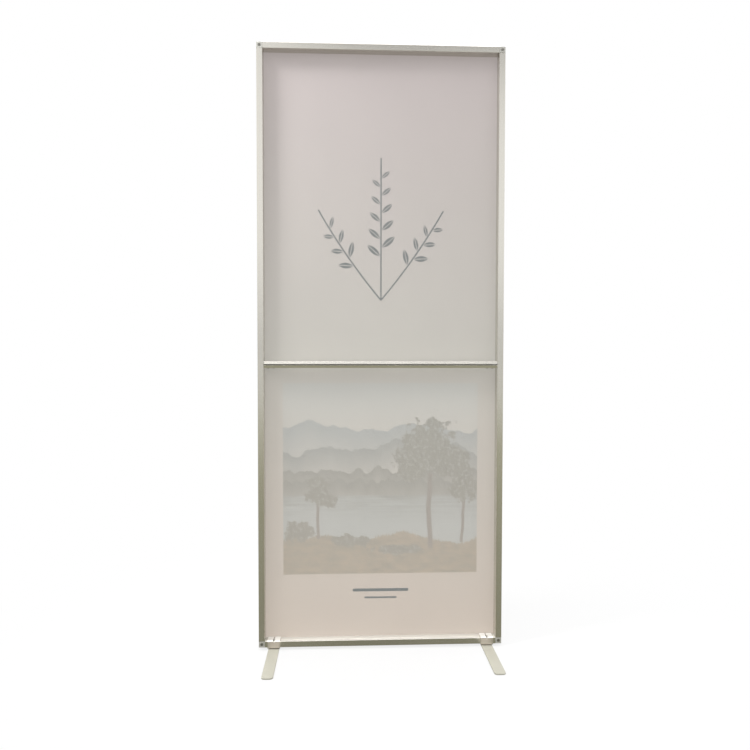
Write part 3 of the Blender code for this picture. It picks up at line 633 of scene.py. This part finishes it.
    def cloth(self):
        """The cloth's tone, which changes slowly from top to base: painted shade darkens the top and painted
        light brightens the base.
        """
        inks = self.inks
        middle = (PANEL_LOW.z + PANEL_HIGH.z) / 2
        # Painted light lightens the lower half towards the base, and painted shade darkens the upper half
        # towards the top
        lower = self.add("ShaderNodeMapRange", (self.z, PANEL_LOW.z, middle))
        tone = self.add("ShaderNodeMix", (lower, inks.cloth_base_with_painted_light, inks.cloth_middle), data_type="RGBA")
        upper = self.add("ShaderNodeMapRange", (self.z, middle, PANEL_HIGH.z))
        return self.add("ShaderNodeMix", (upper, tone, inks.cloth_top_with_painted_shade), data_type="RGBA")

    def colour(self):
        """The whole print: cloth, sprigs, rules and picture."""
        tone = self.cloth()
        for lean, tall in SPRIGS:
            tone = self.lay(tone, self.ink("ornament"), self.sprig(lean, tall))
        for level, long, high in RULES:
            rule = self.bar((0.0, level), (long / 2, high / 2), radius=high * 0.3)
            tone = self.lay(tone, self.ink("ornament"), rule)
        middle = (0.0, (PICTURE_BASE + PICTURE_TOP) / 2)
        half = (PICTURE_HALF_WIDTH, (PICTURE_TOP - PICTURE_BASE) / 2)
        return self.lay(tone, self.picture(), self.bar(middle, half, radius=0.0))


def knitted_polyester(name, inks, strength, blur, tint):
    """Knitted polyester: matte, printed cloth of fine loops with a soft sheen, thin enough to pass light."""
    material, shader, add = new_material(name)
    drawn = Print(add, inks, strength, blur).colour()
    # The loops are about 0.4 mm apart on the real cloth, and are drawn 1 mm apart so that they show
    wales = grain(add, (0.0010, 0.0010, 0.0032))
    courses = grain(add, (0.0036, 0.0036, 0.0011))
    loops = add("ShaderNodeMath", (wales, courses), operation="ADD")
    cloud = add("ShaderNodeMapRange", (grain(add, (0.23, 0.23, 0.31), detail=3.0), 0.0, 1.0, *CLOUD_SHADE))
    knit = add("ShaderNodeMapRange", (loops, 0.3, 1.7, *KNIT_SHADE))
    shade = add("ShaderNodeMath", (cloud, knit), operation="MULTIPLY")
    set_sockets(
        shader,
        Base_Color=add("ShaderNodeVectorMath", (drawn, shade), operation="SCALE"),
        Roughness=0.9,
        Specular_IOR_Level=0.25,
        Sheen_Weight=0.12,
        Sheen_Roughness=0.5,
        Normal=add("ShaderNodeBump", {"Height": loops, "Distance": 0.00005}),
    )
    passed = add("ShaderNodeBsdfTranslucent", {"Color": add("ShaderNodeGamma", (drawn, tint))})
    both = add("ShaderNodeMixShader", (PASSED_SHARE, shader.outputs["BSDF"], passed))
    fill_socket(material.node_tree.nodes["Material Output"].inputs["Surface"], both)
    return material


def give(piece, *materials):
    """Gives a piece its materials, in place of any that it has."""
    piece.data.materials.clear()
    for material in materials:
        piece.data.materials.append(material)


def select_only(piece):
    bpy.ops.object.select_all(action="DESELECT")
    piece.select_set(True)
    bpy.context.view_layer.objects.active = piece


def place_applied(piece):
    """Moves a piece's place into its mesh, so that its object sits at the origin, unturned and unscaled."""
    select_only(piece)
    bpy.ops.object.transform_apply(location=True, rotation=True, scale=True)


def apply_modifiers(piece):
    select_only(piece)
    for modifier in list(piece.modifiers):
        bpy.ops.object.modifier_apply(modifier=modifier.name)


def refined(node, edge, material):
    """A copy of a construction piece with its sharp edges rounded, which stands for that piece."""
    piece = bpy.data.objects.new(f"{node}_finished", frame["nodes"][node].data.copy())
    bpy.context.scene.collection.objects.link(piece)
    select_only(piece)
    bpy.ops.object.mode_set(mode="EDIT")
    bpy.ops.mesh.select_all(action="SELECT")
    bpy.ops.mesh.remove_doubles(threshold=MERGE_GAP)
    bpy.ops.mesh.dissolve_limited(angle_limit=FLAT_ANGLE)
    bpy.ops.object.mode_set(mode="OBJECT")
    rounding = piece.modifiers.new("Rounding", "BEVEL")
    rounding.width = edge
    rounding.segments = 2
    rounding.limit_method = "ANGLE"
    rounding.angle_limit = EDGE_ANGLE
    apply_modifiers(piece)
    bpy.ops.object.shade_smooth_by_angle(angle=SMOOTH_ANGLE)
    # Flat faces stay flat to the light, and only the roundings between them curve
    flat = piece.modifiers.new("Flat faces", "WEIGHTED_NORMAL")
    flat.keep_sharp = True
    apply_modifiers(piece)
    give(piece, material)
    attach(piece, BODY_OF[node])
    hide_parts(node)
    return piece


def named_nodes(*starts):
    """The construction pieces whose names start with one of these words."""
    return [node for node in sorted(frame["nodes"]) if node.startswith(starts)]


def refine_all(edge, material, slot, *starts):
    """Copies all pieces whose names start with one of these words, with their sharp edges rounded."""
    for node in named_nodes(*starts):
        refined(node, edge, material)


def dress_all(material, *starts):
    """Gives a material to all pieces whose names start with one of these words."""
    for node in named_nodes(*starts):
        give(frame["nodes"][node], material)


class StretchedFabric(bpy.types.Operator):
    """Adds the stretched cloth, with its edges turned into the grooves and its generic print"""

    bl_idname = "banner_stand.stretched_fabric"
    bl_label = "Stretched fabric"

    def execute(self, context):
        settings = context.scene.banner_fabric
        inks = context.scene.banner_print
        thickness = settings.thickness
        radius = settings.fold_radius
        half_width = PANEL_HIGH.x - thickness / 2
        half_height = (PANEL_HIGH.z - PANEL_LOW.z) / 2 - thickness / 2
        centre = Vector((0, PANEL_LOW.y + thickness / 2, (PANEL_LOW.z + PANEL_HIGH.z) / 2))
        bpy.ops.mesh.primitive_grid_add(
            x_subdivisions=settings.columns,
            y_subdivisions=settings.rows,
            size=2,
            location=centre,
            rotation=(math.pi / 2, 0, 0),
        )
        cloth = context.object
        cloth.name = "stretched_fabric"
        cloth.scale = (half_width - radius, half_height - radius, 1)
        place_applied(cloth)
        self.ripple(cloth, centre, half_width, half_height, settings)
        self.turn_edges(cloth, centre, half_width, half_height, radius)
        back = knitted_polyester("knitted_polyester_back", inks, inks.show_through, inks.back_blur, BACK_TINT)
        front = knitted_polyester("knitted_polyester_front", inks, 1.0, inks.front_blur, FRONT_TINT)
        give(cloth, back, front)
        # The wall's second side takes the second material
        wall = cloth.modifiers.new("Thickness", "SOLIDIFY")
        wall.thickness = thickness
        wall.offset = 0.0
        wall.use_even_offset = True
        wall.material_offset = 1
        apply_modifiers(cloth)
        bpy.ops.object.shade_smooth_by_angle(angle=math.radians(50))
        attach(cloth, BODY_OF["fabric_panel"])
        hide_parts("fabric_panel")
        return {"FINISHED"}

    def ripple(self, cloth, centre, half_width, half_height, settings):
        """Faint waves in the stretched cloth, which die out towards its edges."""
        fade = 0.09
        for vert in cloth.data.vertices:
            x, z = vert.co.x, vert.co.z - centre.z
            inside = min(half_width - abs(x), half_height - abs(z)) / fade
            share = min(max(inside, 0.0), 1.0)
            share = share * share * (3 - 2 * share)
            place = Vector((x / settings.wave_length, z / (3 * settings.wave_length), 0.0))
            vert.co.y += settings.slack * share * noise.noise(place)

    def turn_edges(self, cloth, centre, half_width, half_height, radius):
        """Turns the cloth's four edges round a small fold and down into the grooves."""
        select_only(cloth)
        steps = 3
        outline = []
        for step in range(1, steps + 1):
            angle = math.pi / 2 * step / steps
            outline.append((radius * (1 - math.sin(angle)), -radius * (1 - math.cos(angle))))
        outline.append((0.0, STRIP_REAR - centre.y))
        bpy.ops.object.mode_set(mode="EDIT")
        bpy.ops.mesh.select_mode(type="EDGE")
        bpy.ops.mesh.select_all(action="DESELECT")
        bpy.ops.mesh.select_non_manifold()
        width, height, level = half_width - radius, half_height - radius, centre.y
        for inset, drop in outline:
            bpy.ops.mesh.extrude_edges_move()
            new_width, new_height = half_width - inset, half_height - inset
            scale = (new_width / width, 1, new_height / height)
            bpy.ops.transform.resize(value=scale, center_override=centre)
            bpy.ops.transform.translate(value=(0, centre.y + drop - level, 0))
            width, height, level = new_width, new_height, centre.y + drop
        bpy.ops.object.mode_set(mode="OBJECT")


class SatinFrame(bpy.types.Operator):
    """Finishes the rails, the stiles, and the crossbar with its angles"""

    bl_idname = "banner_stand.satin_frame"
    bl_label = "Rails, stiles and crossbar"

    def execute(self, context):
        settings = context.scene.banner_metal
        level = anodised_aluminium("anodised_aluminium_level", settings.aluminium, 0)
        upright = anodised_aluminium("anodised_aluminium_upright", settings.aluminium, 2)
        refine_all(settings.rail_edge, level, "anodised_aluminium", "bottom_rail", "top_rail")
        refine_all(settings.rail_edge, upright, "anodised_aluminium", "left_stile", "right_stile")
        crossbar = refined("crossbar", settings.rail_edge, level)
        # The slot's inside gets a darker material as painted shade
        self.paint_slot_shade(crossbar, dusty_aluminium("dusty_aluminium", settings.slot))
        plated = zinc_plated_steel("zinc_plated_angle", settings.angle)
        refine_all(settings.block_edge, plated, "zinc_steel", "crossbar_angle")
        return {"FINISHED"}

    def paint_slot_shade(self, crossbar, dust):
        """Gives the inside of the crossbar's slot its painted shade: faces just inside the rear, between its
        lands.
        """
        shallow, deep, half_height = 0.0004, 0.0045, 0.0035
        crossbar.data.materials.append(dust)
        middle = (CROSSBAR_LOW.z + CROSSBAR_HIGH.z) / 2
        for face in crossbar.data.polygons:
            depth = face.center.y - CROSSBAR_LOW.y
            if shallow < depth < deep and abs(face.center.z - middle) < half_height:
                face.material_index = 1


class CornerFittings(bpy.types.Operator):
    """Finishes the cast corner blocks, and the bars and screws in and around them"""

    bl_idname = "banner_stand.corner_fittings"
    bl_label = "Corner fittings"

    def execute(self, context):
        settings = context.scene.banner_metal
        cast = cast_zinc("cast_zinc", settings.cast)
        refine_all(settings.block_edge, cast, "cast_block", "corner_block")
        screw = zinc_plated_steel("zinc_plated_screw", settings.screw)
        refine_all(settings.screw_edge, screw, "zinc_steel", "corner_screw", "crossbar_screw", "stile_screw")
        bar = mill_aluminium("mill_aluminium", settings.bar)
        dress_all(bar, "rail_joiner", "stile_joiner")
        dress_all(screw, "rail_lock_screw", "stile_lock_screw")
        strip = moulded("silicone_rubber", settings.silicone, 0.6)
        dress_all(strip, "silicone_edge")
        return {"FINISHED"}


class SwivelFeet(bpy.types.Operator):
    """Finishes the bent clamps, the coated feet, and their washers and screws"""

    bl_idname = "banner_stand.swivel_feet"
    bl_label = "Feet and clamps"

    def execute(self, context):
        settings = context.scene.banner_metal
        # The clamps' upper faces are painted pale for the overhead light on them, as well as dusty
        clamp = zinc_plated_steel("zinc_plated_clamp", settings.clamp, metallic=0.86, dusty=0.9)
        screw = zinc_plated_steel("zinc_plated_foot_screw", settings.screw)
        coat = powder_coated_steel("powder_coated_steel", settings.coat)
        washer = moulded("natural_nylon", settings.nylon, 0.45)
        refine_all(settings.block_edge, clamp, "clamp_steel", "foot_clamp")
        refine_all(settings.plate_edge, coat, "painted_steel", "foot_plate")
        refine_all(settings.screw_edge, washer, "nylon", "foot_washer")
        refine_all(settings.screw_edge, screw, "zinc_steel", "clamp_screw", "pivot_screw")
        return {"FINISHED"}


class StudioStage(bpy.types.Operator):
    """Adds the white floor, the soft light and the camera"""

    bl_idname = "banner_stand.studio_stage"
    bl_label = "Studio stage"

    def execute(self, context):
        settings = context.scene.banner_stage
        for add_part in (self.add_floor, self.add_carpet, self.add_world, self.add_lamp, self.add_camera):
            add_part(settings)
        context.scene.view_settings.view_transform = "Standard"
        return {"FINISHED"}

    def seen(self, add):
        """1 for rays straight from the camera, a shiny surface or a clear one, and 0 for the rest."""
        kinds = ("Camera", "Glossy", "Transmission")
        camera, glossy, clear = [add("ShaderNodeLightPath", output=f"Is {kind} Ray") for kind in kinds]
        shown = add("ShaderNodeMath", (camera, glossy), operation="MAXIMUM")
        return add("ShaderNodeMath", (shown, clear), operation="MAXIMUM")

    def new_stage_material(self, name):
        """A material without its Principled shader, its surface socket, and the function that adds nodes."""
        material, shader, add = new_material(name)
        tree = material.node_tree
        tree.nodes.remove(shader)
        return material, tree.nodes["Material Output"].inputs["Surface"], add

    def add_floor(self, settings):
        """A white floor that keeps the stand's shadow: thin lit paint over even white, all white far away."""
        bpy.ops.mesh.primitive_plane_add(size=settings.floor_size)
        floor = bpy.context.object
        floor.name = "studio_floor"
        material, surface, add = self.new_stage_material("studio_floor_paint")
        bounce = add("ShaderNodeBsdfDiffuse", {"Color": settings.floor_bounce})
        thin = add("ShaderNodeBsdfDiffuse", {"Color": FLOOR_PAINT})
        under = add("ShaderNodeEmission", {"Color": WHITE, "Strength": FLOOR_WHITE})
        shaded = add("ShaderNodeAddShader", (thin, under))
        white = add("ShaderNodeEmission", {"Color": WHITE, "Strength": 1.0})
        place = add("ShaderNodeTexCoord", output="Object")
        away = add("ShaderNodeVectorMath", (place,), operation="LENGTH")
        near = add("ShaderNodeMapRange", (away, *FLOOR_FADE, 1.0, 0.0), **SMOOTH)
        shown = add("ShaderNodeMixShader", (near, white, shaded))
        fill_socket(surface, add("ShaderNodeMixShader", (self.seen(add), bounce, shown)))
        give(floor, material)

    def add_carpet(self, settings):
        """A dull carpet that only shiny surfaces mirror, glowing as if lit, with painted shade that makes it
        darker near the stand.
        """
        bpy.ops.mesh.primitive_plane_add(size=CARPET_SIZE, location=(0, 0, CARPET_LEVEL))
        carpet = bpy.context.object
        carpet.name = "mirrored_carpet"
        place_applied(carpet)
        carpet.visible_camera = False
        carpet.visible_diffuse = False
        carpet.visible_shadow = False
        carpet.visible_transmission = False
        material, surface, add = self.new_stage_material("mirrored_carpet")
        place = add("ShaderNodeTexCoord", output="Object")
        away = add("ShaderNodeVectorMath", (place,), operation="LENGTH")
        root = add("ShaderNodeMath", (away,), operation="SQRT")
        # The glow grows away from the stand, so the stand's shade is painted on the carpet
        strength = add("ShaderNodeMath", (root, CARPET_SHADE_FADE, CARPET_NEAR_SHADED), operation="MULTIPLY_ADD")
        fill_socket(surface, add("ShaderNodeEmission", (settings.carpet, strength)))
        give(carpet, material)

    def add_world(self, settings):
        """White where it is seen, a room with greyer walls in what shines, and a soft light on the rest."""
        world = bpy.data.worlds.new("studio_world")
        world.use_nodes = True
        add = partial(add_node, world.node_tree)
        towards = add("ShaderNodeTexCoord", output="Generated")
        up = add("ShaderNodeSeparateXYZ", (towards,), output="Z")
        right = add("ShaderNodeSeparateXYZ", (towards,), output="X")
        over_base = add("ShaderNodeMapRange", (up, *WALL_BASE), **SMOOTH)
        under_top = add("ShaderNodeMapRange", (up, *WALL_TOP, 1.0, 0.0), **SMOOTH)
        past_start = add("ShaderNodeMapRange", (right, *WALL_START), **SMOOTH)
        darkness = add("ShaderNodeMapRange", (right, *WALL_CHANGE, DARK_WALL, LIGHT_WALL), **SMOOTH)
        wall = add("ShaderNodeMath", (over_base, under_top), operation="MULTIPLY")
        wall = add("ShaderNodeMath", (wall, past_start), operation="MULTIPLY")
        horizon = add("ShaderNodeMapRange", (up, *HORIZON, HORIZON_GREY, 0.0), **SMOOTH)
        grey = add("ShaderNodeMath", (wall, darkness, horizon), operation="MULTIPLY_ADD")
        ceiling = add("ShaderNodeMapRange", (up, *CEILING_EDGE, ROOM_EXTRA, settings.ceiling), **SMOOTH)
        shine = add("ShaderNodeMath", (ceiling, grey), operation="SUBTRACT")
        glossy = add("ShaderNodeLightPath", output="Is Glossy Ray")
        white = add("ShaderNodeMath", (shine, glossy, 1.0), operation="MULTIPLY_ADD")
        height = add("ShaderNodeMath", (up, up), operation="MULTIPLY")
        soft = add("ShaderNodeMath", (height, settings.overhead, settings.fill), operation="MULTIPLY_ADD")
        strength = add("ShaderNodeMix", (self.seen(add), soft, white), data_type="FLOAT")
        background = world.node_tree.nodes["Background"]
        set_sockets(background, Color=WHITE, Strength=strength)
        bpy.context.scene.world = world

    def add_lamp(self, settings):
        """A square ceiling lamp, behind the stand and to the left, turned towards the stand's upper part."""
        towards = Vector(settings.lamp_target) - Vector(settings.lamp_place)
        turn = towards.to_track_quat("-Z", "Y").to_euler()
        bpy.ops.object.light_add(type="AREA", location=settings.lamp_place, rotation=turn)
        lamp = bpy.context.object
        lamp.name = "ceiling_lamp"
        lamp.data.shape = "SQUARE"
        lamp.data.size = settings.lamp_size
        lamp.data.spread = settings.lamp_spread
        lamp.data.energy = settings.lamp_power
        lamp.visible_glossy = False

    def add_camera(self, settings):
        """The camera at the photograph's place, turned right, then down, and leaned last."""
        down, right, lean = settings.camera_turn
        bpy.ops.object.camera_add(location=settings.camera_place)
        camera = bpy.context.object
        camera.name = "photo_camera"
        turn = Euler((math.pi / 2 - down, 0, -right)).to_matrix() @ Euler((0, 0, -lean)).to_matrix()
        camera.rotation_euler = turn.to_euler()
        camera.data.lens = settings.lens
        camera.data.sensor_width = 36.0
        camera.data.clip_start = 0.05
        camera.data.clip_end = 200.0
        bpy.context.scene.camera = camera


class BannerStandPanel(bpy.types.Panel):
    """Lists the pieces that can be added"""

    bl_idname = "VIEW3D_PT_banner_stand"
    bl_label = "Banner stand"
    bl_space_type = "VIEW_3D"
    bl_region_type = "UI"
    bl_category = "Banner stand"

    def draw(self, context):
        column = self.layout.column(align=True)
        for operator in OPERATORS:
            column.operator(operator.bl_idname)


SETTINGS = {
    "banner_fabric": FabricSettings,
    "banner_print": PrintSettings,
    "banner_metal": MetalSettings,
    "banner_stage": StageSettings,
}
OPERATORS = (StretchedFabric, SatinFrame, CornerFittings, SwivelFeet, StudioStage)
CLASSES = (*SETTINGS.values(), *OPERATORS, BannerStandPanel)


def register():
    for each in CLASSES:
        bpy.utils.register_class(each)
    for name, group in SETTINGS.items():
        setattr(bpy.types.Scene, name, PointerProperty(type=group))


def unregister():
    for name in SETTINGS:
        delattr(bpy.types.Scene, name)
    for each in reversed(CLASSES):
        bpy.utils.unregister_class(each)


def main():
    register()
    bpy.ops.object.select_all(action="DESELECT")
    bpy.ops.banner_stand.stretched_fabric()
    bpy.ops.banner_stand.satin_frame()
    bpy.ops.banner_stand.corner_fittings()
    bpy.ops.banner_stand.swivel_feet()
    bpy.ops.banner_stand.studio_stage()


if __name__ == "__main__":
    main()
